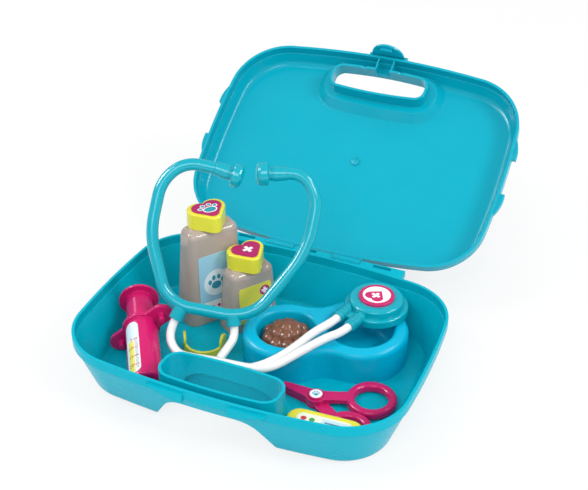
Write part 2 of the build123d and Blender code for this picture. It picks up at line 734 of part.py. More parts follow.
export_step(syringe_barrel.part, "parts/syringe_barrel.step")

with BuildPart() as syringe_plunger:
    with BuildSketch(syringe_plane.offset(-plunger_inside)):
        Circle(plunger_radius)
    extrude(amount=plunger_inside + plunger_out)
    with BuildSketch(syringe_plane.offset(plunger_out)):
        Circle(thumb_disc_radius)
    extrude(amount=disc_thickness)
    fillet(syringe_plunger.faces().sort_by(lambda f: syringe_plane.to_local_coords(f.center()).Z)[-1].edges(),
           disc_edge_radius)
syringe_plunger.part.label = "syringe_plunger"
export_step(syringe_plunger.part, "parts/syringe_plunger.step")

with BuildPart() as syringe_label:
    with BuildSketch(syringe_plane.offset(-barrel_length + 3.5)):
        Circle(barrel_radius + label_thickness)
        Circle(barrel_radius, mode=Mode.SUBTRACT)
    extrude(amount=syringe_label_length)
    with BuildSketch(Plane(origin=syringe_plane.from_local_coords(
            Vector(0, -2 * barrel_radius, -barrel_length + 3.5 + syringe_label_length / 2)),
            x_dir=syringe_plane.x_dir, z_dir=-syringe_plane.y_dir)):
        RectangleRounded(syringe_label_width, syringe_label_length, syringe_label_width / 2.2)
    extrude(amount=-2 * barrel_radius, mode=Mode.INTERSECT)
syringe_label.part.label = "syringe_label"
export_step(syringe_label.part, "parts/syringe_label.step")

# The scissors lie on the floor. Each half has a finger ring, a neck and a short round-nosed blade.


def scissors_half(ring_angle, blade_angle, layer_low):
    """One half in plan, turned about the pivot, with its blade and neck in its own layer."""
    lift = floor_z + scissors_floor_gap
    base = Plane(origin=(pivot_x, pivot_y, lift))
    with BuildPart() as half:
        ring_place = (ring_centre_reach * cos(radians(ring_angle)),
                      ring_centre_reach * sin(radians(ring_angle)))
        tip_place = (blade_length * cos(radians(blade_angle)), blade_length * sin(radians(blade_angle)))
        ring_plane = Plane(origin=base.from_local_coords(Vector(ring_place[0], ring_place[1], 0)),
                           x_dir=(1, 0, 0), z_dir=(0, -1, 0))
        with BuildSketch(ring_plane):
            with Locations(((ring_outer_radius + ring_hole_radius) / 2, ring_thickness / 2)):
                RectangleRounded(ring_outer_radius - ring_hole_radius, ring_thickness, ring_edge_radius)
        revolve(axis=Axis(ring_plane.origin, (0, 0, 1)))
        with BuildSketch(base.offset(layer_low)):
            Circle(blade_root_width / 2)
            with Locations((tip_place[0] * (1 - blade_tip_radius / blade_length),
                            tip_place[1] * (1 - blade_tip_radius / blade_length))):
                Circle(blade_tip_radius)
            make_hull()
        extrude(amount=half_thickness)
        with BuildSketch(base.offset(layer_low)):
            Circle(boss_radius)
            with Locations((neck_reach / 2 * cos(radians(ring_angle)),
                            neck_reach / 2 * sin(radians(ring_angle)))):
                Rectangle(neck_reach, neck_width, rotation=ring_angle)
        extrude(amount=half_thickness)
        with BuildSketch(base):
            Circle(pivot_pin_radius + pivot_gap)
        extrude(amount=2 * ring_thickness, mode=Mode.SUBTRACT)
    return half.part


lower_ring_angle = upper_ring_angle - 2 * blade_offset_angle
upper_layer = half_thickness + 2 * layer_gap
scissors_upper_half = scissors_half(upper_ring_angle, 180 + upper_ring_angle - blade_offset_angle, upper_layer)
scissors_upper_half.label = "scissors_upper_half"
export_step(scissors_upper_half, "parts/scissors_upper_half.step")
scissors_lower_half = scissors_half(lower_ring_angle, 180 + lower_ring_angle + blade_offset_angle, layer_gap)
scissors_lower_half.label = "scissors_lower_half"
export_step(scissors_lower_half, "parts/scissors_lower_half.step")

pivot_base = Plane(origin=(pivot_x, pivot_y, floor_z + scissors_floor_gap))
pivot_top = upper_layer + half_thickness + layer_gap
with BuildPart() as scissors_pivot:
    with BuildSketch(pivot_base):
        Circle(pivot_pin_radius)
    extrude(amount=pivot_top)
    with BuildSketch(pivot_base.offset(pivot_top)):
        Circle(pivot_head_radius)
    extrude(amount=pivot_head_height)
    fillet(scissors_pivot.faces().sort_by(Axis.Z)[-1].edges(), 0.8)
scissors_pivot.part.label = "scissors_pivot"
export_step(scissors_pivot.part, "parts/scissors_pivot.step")

with BuildPart() as pivot_sticker:
    with BuildSketch(pivot_base.offset(pivot_top + pivot_head_height)):
        Circle(pivot_head_radius - 1.2)
    extrude(amount=0.3)
pivot_sticker.part.label = "pivot_sticker"
export_step(pivot_sticker.part, "parts/pivot_sticker.step")

# The thermometer rests across the lower finger ring: a rounded grip that narrows to a probe.
thermometer_low = floor_z + scissors_floor_gap + ring_thickness + 0.1

thermometer_plane = Plane(origin=(thermometer_x, thermometer_y, thermometer_low),
                          x_dir=(cos(radians(thermometer_turn)), sin(radians(thermometer_turn)), 0),
                          z_dir=(0, 0, 1))
with BuildPart() as thermometer:
    with BuildSketch(thermometer_plane):
        RectangleRounded(thermometer_length, thermometer_width, 0.44 * thermometer_width)
    extrude(amount=thermometer_thickness)
    fillet(thermometer.faces().sort_by(Axis.Z)[0].edges() + thermometer.faces().sort_by(Axis.Z)[-1].edges(),
           thermometer_edge_radius)
thermometer.part.label = "thermometer"
export_step(thermometer.part, "parts/thermometer.step")

with BuildPart() as thermometer_label:
    with BuildSketch(thermometer_plane.offset(thermometer_thickness)):
        RectangleRounded(thermometer_label_length, thermometer_label_width, 0.45 * thermometer_label_width)
    extrude(amount=0.3)
thermometer_label.part.label = "thermometer_label"
export_step(thermometer_label.part, "parts/thermometer_label.step")

# The collar band: an open ring that stands on the floor, with a round lobe at each end.

band_plane = Plane(origin=(band_x, band_y, floor_z),
                   x_dir=(cos(radians(band_heading)), sin(radians(band_heading)), 0), z_dir=(0, 0, 1))
with BuildPart() as collar_band:
    with BuildSketch(band_plane):
        with BuildLine():
            CenterArc((0, 0), band_radius, -lobe_turn, 2 * lobe_turn)
            CenterArc((0, 0), band_radius - band_thickness, -lobe_turn, 2 * lobe_turn)
            Line((band_radius * cos(radians(lobe_turn)), band_radius * sin(radians(lobe_turn))),
                 ((band_radius - band_thickness) * cos(radians(lobe_turn)),
                  (band_radius - band_thickness) * sin(radians(lobe_turn))))
            Line((band_radius * cos(radians(lobe_turn)), -band_radius * sin(radians(lobe_turn))),
                 ((band_radius - band_thickness) * cos(radians(lobe_turn)),
                  -(band_radius - band_thickness) * sin(radians(lobe_turn))))
        make_face()
    extrude(amount=band_front_height)
    for side in (-1, 1):
        middle = band_plane.from_local_coords(Vector((band_radius - band_thickness) * cos(radians(lobe_turn)),
                                                     side * (band_radius - band_thickness) * sin(radians(lobe_turn)), 0))
        outward = (middle - band_plane.origin).normalized()
        with BuildSketch(Plane(origin=middle, x_dir=Vector(-outward.Y, outward.X, 0), z_dir=outward)):
            with Locations((0, lobe_height - lobe_width / 2)):
                Circle(lobe_width / 2)
            with Locations((0, (lobe_height - lobe_width / 2) / 2)):
                Rectangle(0.8 * lobe_width, lobe_height - lobe_width / 2)
        extrude(amount=band_thickness)
collar_band.part.label = "collar_band"
export_step(collar_band.part, "parts/collar_band.step")

# The stethoscope's headset: one hoop of round bar in a plane that leans back over the bottles.

level = Vector(cos(radians(headset_turn)), sin(radians(headset_turn)), 0)
rise = Vector(-sin(radians(headset_turn)) * sin(radians(headset_lean)),
              cos(radians(headset_turn)) * sin(radians(headset_lean)), cos(radians(headset_lean)))
headset_x = level * cos(radians(headset_roll)) - rise * sin(radians(headset_roll))
headset_up = rise * cos(radians(headset_roll)) + level * sin(radians(headset_roll))
headset_plane = Plane(origin=yoke_place, x_dir=headset_x, z_dir=headset_x.cross(headset_up))


def hoop_side(route, radii):
    """One side of the hoop, from the middle of the yoke to the end that holds the ear piece."""
    with BuildPart() as bar:
        with BuildLine(headset_plane) as path:
            FilletPolyline(*route, radius=radii)
        for run in path.line.edges():
            with BuildSketch(Plane(origin=run @ 0, z_dir=run % 0)):
                Circle(bar_radius)
            sweep(path=run)
    return bar.part


def seam_plane(height):
    """The plane of a seam across the hoop."""
    return Plane(origin=headset_plane.from_local_coords(Vector(0, height, 0)), z_dir=headset_up)


def cut_between(bar, low, high):
    """The stretch of a bar between two seams; None leaves that end whole."""
    with BuildPart() as stretch:
        add(bar)
        if low is not None:
            split(bisect_by=seam_plane(low), keep=Keep.TOP)
        if high is not None:
            split(bisect_by=seam_plane(high), keep=Keep.BOTTOM)
    return stretch.part


def spindle(start, end, radii, plane=headset_plane):
    """A round piece along a line in the headset's plane; radii are (share of length, radius)."""
    first = plane.from_local_coords(Vector(*start))
    last = plane.from_local_coords(Vector(*end))
    along = last - first
    with BuildPart() as piece:
        with BuildSketch(Plane(origin=first, x_dir=along, z_dir=plane.z_dir)):
            with BuildLine():
                points = [(share * along.length, radius) for share, radius in radii]
                points = [(0, 0)] + points + [(along.length, 0)]
                Polyline(*points, close=True)
            make_face()
        revolve(axis=Axis(first, along))
    return piece.part


left_bar = hoop_side(left_route, left_radii)
right_bar = hoop_side(right_route, right_radii)
with BuildPart() as yoke:
    add(cut_between(left_bar, None, left_seams[0]))
    add(cut_between(right_bar, None, right_seams[0]))
    add(spindle(left_socket[0], left_socket[1], ((0, socket_radius), (1, socket_radius))))
    add(spindle(right_socket[0], right_socket[1], ((0, socket_radius), (1, socket_radius))))
headset_yoke = yoke.part
left_middle_arm = cut_between(left_bar, left_seams[0], left_seams[1])
right_middle_arm = cut_between(right_bar, right_seams[0], right_seams[1])
left_upper_arm = cut_between(left_bar, left_seams[1], None)
right_upper_arm = cut_between(right_bar, right_seams[1], None)

# Each ear piece is a stepped collar on the bar's end and a soft domed tip.
collar_steps = ((0, 0.93 * ear_collar_radius), (0.45, 0.93 * ear_collar_radius), (0.45, ear_collar_radius),
                (1, ear_collar_radius))
tip_steps = ((0, 0.58 * ear_tip_radius), (0.2, 0.58 * ear_tip_radius), (0.28, 0.94 * ear_tip_radius),
             (0.34, ear_tip_radius), (0.7, ear_tip_radius), (0.84, 0.93 * ear_tip_radius),
             (0.94, 0.76 * ear_tip_radius), (1, 0.5 * ear_tip_radius))
left_bar_end = Vector(left_route[-1])
left_run = Vector(left_tip_end) - left_bar_end
left_collar_end = left_bar_end + left_run.normalized() * ear_collar_length
right_bar_end = Vector(right_route[-1])
right_run = Vector(right_tip_end) - right_bar_end
right_collar_end = right_bar_end + right_run.normalized() * ear_collar_length
left_ear_collar = spindle(left_bar_end, left_collar_end, collar_steps) - left_upper_arm
left_ear_tip = spindle(left_collar_end, left_tip_end, tip_steps)
right_ear_collar = spindle(right_bar_end, right_collar_end, collar_steps) - right_upper_arm
right_ear_tip = spindle(right_collar_end, right_tip_end, tip_steps)

# The chest piece rests on the bowl's right rim: a base disc, a smaller cap and a round label.
chest_low = floor_z + bowl_height + 0.05
with BuildPart() as chest_body:
    with Locations((chest_x, chest_y, chest_low)):
        Cylinder(chest_radius, chest_body_height, align=(Align.CENTER, Align.CENTER, Align.MIN))
    fillet(chest_body.edges(), chest_edge_radius)
with BuildPart() as chest_cap:
    with Locations((chest_x, chest_y, chest_low + chest_body_height)):
        Cylinder(chest_cap_radius, chest_cap_height, align=(Align.CENTER, Align.CENTER, Align.MIN))
    fillet(chest_cap.edges().sort_by(Axis.Z)[-1], chest_cap_edge_radius)
with BuildPart() as chest_label:
    with Locations((chest_x, chest_y, chest_low + chest_body_height + chest_cap_height)):
        Cylinder(chest_label_radius, chest_label_height, align=(Align.CENTER, Align.CENTER, Align.MIN))
    fillet(chest_label.edges().sort_by(Axis.Z)[-1], chest_label_edge_radius)

# The tube connector: two ribbed sleeves side by side, joined by a web and fixed to the chest piece.
sleeve_direction = Vector(sleeve_heading[0], sleeve_heading[1], 0).normalized()
sleeve_across = Vector(-sleeve_direction.Y, sleeve_direction.X, 0)
with BuildPart() as tube_connector:
    for mouth in (right_sleeve_mouth, left_sleeve_mouth):
        start = Vector(mouth[0], mouth[1], sleeve_z)
        with BuildSketch(Plane(origin=start, z_dir=sleeve_direction)):
            Circle(sleeve_radius)
        extrude(amount=sleeve_length)
        for k in range(rib_count):
            rib_place = start + sleeve_direction * (rib_start + rib_pitch * k)
            with BuildSketch(Plane(origin=rib_place, z_dir=sleeve_direction)):
                Circle(rib_radius)
            extrude(amount=rib_width)
    web_middle = (Vector(right_sleeve_mouth) + Vector(left_sleeve_mouth)) / 2
    web_start = Vector(web_middle.X, web_middle.Y, sleeve_z) + sleeve_direction * web_setback
    with BuildSketch(Plane(origin=web_start, x_dir=sleeve_across, z_dir=sleeve_direction)):
        Rectangle((Vector(left_sleeve_mouth) - Vector(right_sleeve_mouth)).length, web_thickness)
    extrude(amount=sleeve_length - web_setback)
    with Locations((chest_x, chest_y, 0)):
        Cylinder(chest_radius + touch_gap, chest_low + chest_body_height, align=(Align.CENTER, Align.CENTER, Align.MIN),
                 mode=Mode.SUBTRACT)
        Cylinder(chest_cap_radius + touch_gap, 2 * sleeve_z, align=(Align.CENTER, Align.CENTER, Align.MIN),
                 mode=Mode.SUBTRACT)


def cord(route):
    """A soft tube along its route: straight runs joined by arcs as wide as the runs allow."""
    points = [Vector(*place) for place in route]
    radii = []
    for before, corner, after in zip(points, points[1:], points[2:]):
        turn = radians((corner - before).get_angle(after - corner))
        radii.append(0.45 * min((corner - before).length, (after - corner).length) / tan(turn / 2))
    with BuildPart() as tube:
        with BuildLine() as path:
            FilletPolyline(*points, radius=radii)
        with BuildSketch(Plane(origin=path.line @ 0, z_dir=path.line % 0)):
            Circle(tube_radius)
        sweep(path=path.line)
    length = sum(edge.length for edge in path.line.edges())
    print("route", [(round(p.X, 2), round(p.Y, 2), round(p.Z, 2)) for p in points])
    print("cord radii", [round(radius, 1) for radius in radii], "length", round(length, 1),
          "volume ratio", round(tube.part.volume / (length * pi * tube_radius ** 2), 3))
    return tube.part


def socket_exit(socket, run):
    """The mouth of one of the yoke's sockets, and a point further out on its axis."""
    root = headset_plane.from_local_coords(Vector(*socket[0]))
    mouth = headset_plane.from_local_coords(Vector(*socket[1]))
    return [tuple(mouth), tuple(mouth + (mouth - root).normalized() * run)]


def sleeve_entry(mouth):
    """A point in front of one sleeve, on its axis, and the middle of the sleeve's mouth."""
    end = Vector(mouth[0], mouth[1], sleeve_z)
    return [tuple(end - sleeve_direction * tube_entry_run), tuple(end - sleeve_direction * touch_gap)]


left_tube = cord(socket_exit(left_socket, left_tube_exit_run) + list(left_tube_route)
                 + sleeve_entry(left_sleeve_mouth))
right_tube = cord(socket_exit(right_socket, right_tube_exit_run) + list(right_tube_route)
                  + sleeve_entry(right_sleeve_mouth))

headset_yoke.label = "headset_yoke"
export_step(headset_yoke, "parts/headset_yoke.step")
left_middle_arm.label = "left_middle_arm"
export_step(left_middle_arm, "parts/left_middle_arm.step")
right_middle_arm.label = "right_middle_arm"
export_step(right_middle_arm, "parts/right_middle_arm.step")
left_upper_arm.label = "left_upper_arm"
export_step(left_upper_arm, "parts/left_upper_arm.step")
right_upper_arm.label = "right_upper_arm"
export_step(right_upper_arm, "parts/right_upper_arm.step")
left_ear_collar.label = "left_ear_collar"
export_step(left_ear_collar, "parts/left_ear_collar.step")
right_ear_collar.label = "right_ear_collar"
export_step(right_ear_collar, "parts/right_ear_collar.step")
left_ear_tip.label = "left_ear_tip"
export_step(left_ear_tip, "parts/left_ear_tip.step")
right_ear_tip.label = "right_ear_tip"
export_step(right_ear_tip, "parts/right_ear_tip.step")
chest_body.part.label = "chest_body"
export_step(chest_body.part, "parts/chest_body.step")
chest_cap.part.label = "chest_cap"
export_step(chest_cap.part, "parts/chest_cap.step")
chest_label.part.label = "chest_label"
export_step(chest_label.part, "parts/chest_label.step")
tube_connector.part.label = "tube_connector"
export_step(tube_connector.part, "parts/tube_connector.step")
left_tube.label = "left_tube"
export_step(left_tube, "parts/left_tube.step")
right_tube.label = "right_tube"
export_step(right_tube, "parts/right_tube.step")
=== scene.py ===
from math import cos, radians, sin

import bpy
from mathutils import Euler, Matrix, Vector


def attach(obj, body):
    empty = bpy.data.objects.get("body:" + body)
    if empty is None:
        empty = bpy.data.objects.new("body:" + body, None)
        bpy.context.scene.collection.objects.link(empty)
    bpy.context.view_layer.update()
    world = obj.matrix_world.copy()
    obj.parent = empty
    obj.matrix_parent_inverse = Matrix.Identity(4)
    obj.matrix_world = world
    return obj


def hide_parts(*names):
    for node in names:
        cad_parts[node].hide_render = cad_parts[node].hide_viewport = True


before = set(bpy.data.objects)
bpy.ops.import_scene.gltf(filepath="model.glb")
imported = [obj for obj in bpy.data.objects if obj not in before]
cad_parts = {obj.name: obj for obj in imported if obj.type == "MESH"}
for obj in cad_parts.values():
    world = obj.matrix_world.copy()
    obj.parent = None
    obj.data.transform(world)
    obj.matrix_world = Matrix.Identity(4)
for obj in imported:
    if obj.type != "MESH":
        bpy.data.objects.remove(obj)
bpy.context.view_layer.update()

bpy.ops.object.select_all(action="DESELECT")


# The case's base is one thin-walled tray moulded in teal polypropylene, with the hand
# slot's walls, the grip pads and the hinge pins in the same shot. It stands on its foot.
def paint(code):
    """A paint code such as #00B4CF as the linear colour that a shader takes."""
    parts = [int(code[start:start + 2], 16) / 255 for start in (1, 3, 5)]
    return [part / 12.92 if part <= 0.04045 else ((part + 0.055) / 1.055) ** 2.4 for part in parts] + [1.0]


def feed(tree, socket, value):
    """Joins a socket to another, or sets it to a plain value."""
    if isinstance(value, bpy.types.NodeSocket):
        tree.links.new(value, socket)
    else:
        socket.default_value = value


def blended(tree, share, first, second):
    """A colour that goes from first to second with share."""
    mix = tree.nodes.new("ShaderNodeMix")
    mix.data_type = "RGBA"
    # A mix in colour has its share, its two colours and its result at these places.
    for place, value in ((0, share), (6, first), (7, second)):
        feed(tree, mix.inputs[place], value)
    return mix.outputs[2]


def mottling(tree, scale, detail, low, high, start=0.2, end=0.8):
    """A cloudy value between low and high that lies still on the piece."""
    place = tree.nodes.new("ShaderNodeTexCoord")
    cloud = tree.nodes.new("ShaderNodeTexNoise")
    cloud.inputs["Scale"].default_value = scale
    cloud.inputs["Detail"].default_value = detail
    tree.links.new(place.outputs["Object"], cloud.inputs["Vector"])
    spread = tree.nodes.new("ShaderNodeMapRange")
    for name, value in (("From Min", start), ("From Max", end), ("To Min", low), ("To Max", high)):
        spread.inputs[name].default_value = value
    tree.links.new(cloud.outputs["Fac"], spread.inputs["Value"])
    return spread.outputs["Result"]


def moulded(name, colour, deeper, edge, shine, gleam=0.5, edge_round=0.0006, skin=0.03, skin_scale=900.0):
    """Moulded plastic: a faint flow mottle, a fine skin, a shine that varies, and a painted highlight that
    turns the edges paler.
    """
    flow_scale = 11.0
    shine_scale = 55.0
    skin_depth = 0.0002
    edge_samples = 6
    edge_start = 0.97
    edge_end = 0.72
    strongest_edge_highlight = 0.6

    material = bpy.data.materials.new(name)
    material.use_nodes = True
    tree = material.node_tree
    shader = tree.nodes["Principled BSDF"]
    shader.inputs["Specular IOR Level"].default_value = gleam

    softened = tree.nodes.new("ShaderNodeBevel")
    softened.samples = edge_samples
    softened.inputs["Radius"].default_value = edge_round
    surface = tree.nodes.new("ShaderNodeNewGeometry")
    turned = tree.nodes.new("ShaderNodeVectorMath")
    turned.operation = "DOT_PRODUCT"
    tree.links.new(softened.outputs["Normal"], turned.inputs[0])
    tree.links.new(surface.outputs["Normal"], turned.inputs[1])
    # Painted highlight: the colour turns paler towards the edges, the more the rounded normal leaves the
    # face's own normal.
    painted_edge_highlight = tree.nodes.new("ShaderNodeMapRange")
    for field, value in (("From Min", edge_start), ("From Max", edge_end),
                         ("To Min", 0.0), ("To Max", strongest_edge_highlight)):
        painted_edge_highlight.inputs[field].default_value = value
    tree.links.new(turned.outputs["Value"], painted_edge_highlight.inputs["Value"])

    body = blended(tree, mottling(tree, flow_scale, 3.0, 0.0, 1.0), paint(colour), paint(deeper))
    # The painted edge highlight mixes the body colour towards the paler edge colour.
    tree.links.new(blended(tree, painted_edge_highlight.outputs["Result"], body, paint(edge)), shader.inputs["Base Color"])
    tree.links.new(mottling(tree, shine_scale, 4.0, shine - 0.04, shine + 0.05), shader.inputs["Roughness"])

    bump = tree.nodes.new("ShaderNodeBump")
    bump.inputs["Strength"].default_value = skin
    bump.inputs["Distance"].default_value = skin_depth
    tree.links.new(mottling(tree, skin_scale, 2.0, 0.0, 1.0), bump.inputs["Height"])
    tree.links.new(softened.outputs["Normal"], bump.inputs["Normal"])
    tree.links.new(bump.outputs["Normal"], shader.inputs["Normal"])
    return material


def coat(material, *names):
    """Gives CAD nodes their finish."""
    for name in names:
        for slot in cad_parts[name].material_slots:
            slot.material = material


case_teal = moulded("case_teal_satin", "#00ADC2", "#00A9BF", "#2FBBCB", 0.26, gleam=0.1, skin=0.012)
coat(case_teal, "case_base")


# The case's lid is the same teal plastic, swung back on snap-on clips that turn on the
# base's pins. Its inside is smooth, with the round gate mark that the moulding left.
lid_teal = moulded("lid_teal_satin", "#00A5BB", "#00A1B8", "#3FC4D2", 0.20, gleam=0.27,
                   skin=0.01, skin_scale=600.0)
coat(lid_teal, "case_lid")


def pick_faces(piece, wanted):
    """Selects a piece's faces by their middle and normal, ready for an edit."""
    bpy.ops.object.mode_set(mode="EDIT")
    bpy.ops.mesh.select_mode(type="FACE")
    bpy.ops.mesh.select_all(action="DESELECT")
    bpy.ops.object.mode_set(mode="OBJECT")
    for face in piece.data.polygons:
        face.select = wanted(face.center, face.normal)
    bpy.ops.object.mode_set(mode="EDIT")


lid_open = radians(148.1)
gate_radius = 0.0046
gate_height = 0.0024
gate_rounding = 0.00035
gate_place = (0.00006, 0.22405, 0.0894)
# A moat is sunk in a low disc, and the button in its middle is raised again.
bpy.ops.mesh.primitive_cylinder_add(vertices=64, radius=gate_radius, depth=gate_height, location=(0, 0, 0))
gate_mark = bpy.context.object
gate_mark.name = "lid_gate_mark"
pick_faces(gate_mark, lambda middle, normal: normal.z > 0.9)
bpy.ops.mesh.inset(thickness=0.25 * gate_radius)
bpy.ops.transform.translate(value=(0, 0, -0.6 * gate_height))
bpy.ops.mesh.inset(thickness=0.35 * gate_radius)
bpy.ops.transform.translate(value=(0, 0, 0.5 * gate_height))
bpy.ops.object.mode_set(mode="OBJECT")
rounding = gate_mark.modifiers.new("rounding", "BEVEL")
rounding.width = gate_rounding
rounding.segments = 2
bpy.ops.object.modifier_apply(modifier="rounding")
bpy.ops.object.shade_smooth_by_angle(angle=radians(40))
gate_mark.location = gate_place
gate_mark.rotation_euler = (radians(180) - lid_open, 0, 0)
bpy.ops.object.transform_apply(location=True, rotation=True, scale=True)
gate_mark.data.materials.append(lid_teal)
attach(gate_mark, "lid")
bpy.ops.object.select_all(action="DESELECT")


# The latch is a small tab with rolled ears, moulded in the same teal. It turns on a pin
# across the lid's front edge and hooks under the base's rim.
latch_teal = moulded("latch_teal", "#00ABC4", "#00A6C0", "#4ACADA", 0.25, gleam=0.3, edge_round=0.0004)
coat(latch_teal, "latch")


# The double bowl is one moulding in a bluer teal, with two round wells. The kibble is a
# glossy brown heap of rounded pieces, moulded in one and glued into the left well.
bowl_teal = moulded("bowl_teal", "#00B0D2", "#00ACCE", "#45C8E0", 0.28, gleam=0.2, skin=0.015)
coat(bowl_teal, "pet_bowl")
kibble_brown = moulded("kibble_brown", "#8C5B44", "#6C4130", "#B08468", 0.21, edge_round=0.0008, skin=0.25,
                       skin_scale=240.0)
coat(kibble_brown, "kibble")


# The two bottles are blown in taupe plastic and have moulded yellow caps pressed on.
# Paper labels are stuck to their fronts, and heart-shaped stickers to the caps.
def reckoned(tree, operation, first, second=0.0):
    """One step of arithmetic on sockets or numbers."""
    step = tree.nodes.new("ShaderNodeMath")
    step.operation = operation
    feed(tree, step.inputs[0], first)
    feed(tree, step.inputs[1], second)
    return step.outputs[0]


def middle_of(name):
    """The middle of a CAD node's box."""
    points = [vertex.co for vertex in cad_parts[name].data.vertices]
    return Vector([(min(point[side] for point in points) + max(point[side] for point in points)) / 2
                   for side in range(3)])


def print_bed(material, centre, across, up):
    """Millimetres across and up a print from its centre, as two sockets."""
    tree = material.node_tree
    place = tree.nodes.new("ShaderNodeTexCoord")
    moved = tree.nodes.new("ShaderNodeVectorMath")
    moved.operation = "SUBTRACT"
    tree.links.new(place.outputs["Object"], moved.inputs[0])
    moved.inputs[1].default_value = centre
    sides = []
    for direction in (across, up):
        along = tree.nodes.new("ShaderNodeVectorMath")
        along.operation = "DOT_PRODUCT"
        tree.links.new(moved.outputs["Vector"], along.inputs[0])
        along.inputs[1].default_value = Vector(direction).normalized() * 1000
        sides.append(along.outputs["Value"])
    return tree, sides[0], sides[1]


def oval(bed, x, y, half_width, half_height):
    """Where a print bed is inside an oval, with all sizes in millimetres."""
    tree, across, up = bed
    wide = reckoned(tree, "DIVIDE", reckoned(tree, "SUBTRACT", across, x), half_width)
    high = reckoned(tree, "DIVIDE", reckoned(tree, "SUBTRACT", up, y), half_height)
    squares = [reckoned(tree, "MULTIPLY", part, part) for part in (wide, high)]
    return reckoned(tree, "LESS_THAN", reckoned(tree, "ADD", *squares), 1.0)


def strip(bed, x, y, half_width, half_height):
    """Where a print bed is inside an upright rectangle, with all sizes in millimetres."""
    tree, across, up = bed
    wide = reckoned(tree, "ABSOLUTE", reckoned(tree, "SUBTRACT", across, x))
    high = reckoned(tree, "ABSOLUTE", reckoned(tree, "SUBTRACT", up, y))
    return reckoned(tree, "MULTIPLY", reckoned(tree, "LESS_THAN", wide, half_width),
                    reckoned(tree, "LESS_THAN", high, half_height))


def together(bed, *shapes):
    """Where any of the shapes is."""
    whole = shapes[0]
    for shape in shapes[1:]:
        whole = reckoned(bed[0], "MAXIMUM", whole, shape)
    return whole


def heart(bed, x, y, width):
    """A heart: a square on its corner with a disc on each of its two upper sides."""
    tree, across, up = bed
    corner = width / (1 + 2 ** 0.5)
    lobe = corner / 2 ** 0.5
    spread = reckoned(tree, "ADD", reckoned(tree, "ABSOLUTE", reckoned(tree, "SUBTRACT", across, x)),
                      reckoned(tree, "ABSOLUTE", reckoned(tree, "SUBTRACT", up, y)))
    return together(bed, reckoned(tree, "LESS_THAN", spread, corner),
                    oval(bed, x - corner / 2, y + corner / 2, lobe, lobe),
                    oval(bed, x + corner / 2, y + corner / 2, lobe, lobe))


def cross(bed, x, y, reach, half_thick):
    """An upright cross with four equal arms."""
    return together(bed, strip(bed, x, y, reach, half_thick), strip(bed, x, y, half_thick, reach))


def paw(bed, x, y, size):
    """A paw print: one broad pad and four toes."""
    toes = [oval(bed, x + side * size, y + height * size, 0.17 * size, 0.24 * size)
            for side, height in ((-0.62, 0.12), (-0.24, 0.5), (0.24, 0.5), (0.62, 0.12))]
    return together(bed, oval(bed, x, y - 0.28 * size, 0.46 * size, 0.38 * size), *toes)


def printed(material, shape, ink):
    """Lays a shape over the print in an ink."""
    tree = material.node_tree
    base = tree.nodes["Principled BSDF"].inputs["Base Color"]
    tree.links.new(blended(tree, shape, base.links[0].from_socket, paint(ink)), base)


bottle_taupe = moulded("bottle_taupe", "#B0A298", "#A89A90", "#D3CBC2", 0.13, edge_round=0.0010, skin=0.015)
coat(bottle_taupe, "large_bottle", "small_bottle")
cap_yellow = moulded("cap_yellow", "#E6DF3C", "#E0D834", "#F3EF9A", 0.20, gleam=0.7)
coat(cap_yellow, "large_bottle_cap", "small_bottle_cap")

label_across = Vector((0.5707, 0.8211, 0.0))
label_back = Vector((-0.8211, 0.5707, 0.0))
upright = (0, 0, 1)
large_label_paper = moulded("large_label_paper", "#9CCBE0", "#92C3DA", "#D5EAF2", 0.42, edge_round=0.0002)
bed = print_bed(large_label_paper, middle_of("large_bottle_label"), label_across, upright)
foot_height = -24.5
picture = (-1.5, 1.0)
dots = [oval(bed, place, foot_height, 1.6, 1.6) for place in (-12, -6, 0, 6, 12)]
printed(large_label_paper, strip(bed, 0, foot_height, 19, 6.5), "#F2F4F4")
printed(large_label_paper, oval(bed, *picture, 12.5, 13.5), "#DDEAF0")
printed(large_label_paper, paw(bed, *picture, 10.5), "#2C94AC")
printed(large_label_paper, together(bed, *dots), "#D8327A")
coat(large_label_paper, "large_bottle_label")

small_label_paper = moulded("small_label_paper", "#E3DC52", "#D9D145", "#F2EE9E", 0.42, edge_round=0.0002)
bed = print_bed(small_label_paper, middle_of("small_bottle_label"), label_across, upright)
foot_height = -9.0
button = (9.5, 11.0)
printed(small_label_paper, strip(bed, 0, foot_height, 17, 5.5), "#F1F1EC")
printed(small_label_paper, strip(bed, -1.5, foot_height, 11.0, 1.0), "#8FA3A8")
printed(small_label_paper, oval(bed, *button, 5.0, 5.0), "#B3266B")
printed(small_label_paper, cross(bed, *button, 3.1, 1.1), "#F3E9EF")
coat(small_label_paper, "small_bottle_label")

# The print's middle lies a little forward of the middle of the heart's box.
heart_shift = -0.00094 * label_across - 0.00202 * label_back


def sticker_print(name, piece):
    """A magenta sticker on a cap, and its bed to print on."""
    sticker = moulded(name, "#B41D66", "#AB185F", "#D85E97", 0.30, gleam=0.35, edge_round=0.0002)
    return sticker, print_bed(sticker, middle_of(piece) + heart_shift, label_across, label_back)


large_cap_sticker, bed = sticker_print("large_cap_sticker", "large_bottle_cap_sticker")
toes = ((-7.0, 1.6), (-3.0, 5.2), (3.2, 5.4), (7.4, 2.0))
for ink, pad, toe in (("#F5F5F5", (6.6, 4.8), (2.5, 2.2)), ("#2797A8", (5.6, 3.8), (1.7, 1.5))):
    shapes = [oval(bed, 0.6, -2.4, *pad)] + [oval(bed, *place, *toe) for place in toes]
    printed(large_cap_sticker, together(bed, *shapes), ink)
coat(large_cap_sticker, "large_bottle_cap_sticker")

small_cap_sticker, bed = sticker_print("small_cap_sticker", "small_bottle_cap_sticker")
printed(small_cap_sticker, cross(bed, 0.8, 0.6, 4.8, 1.6), "#F1EEF1")
coat(small_cap_sticker, "small_bottle_cap_sticker")


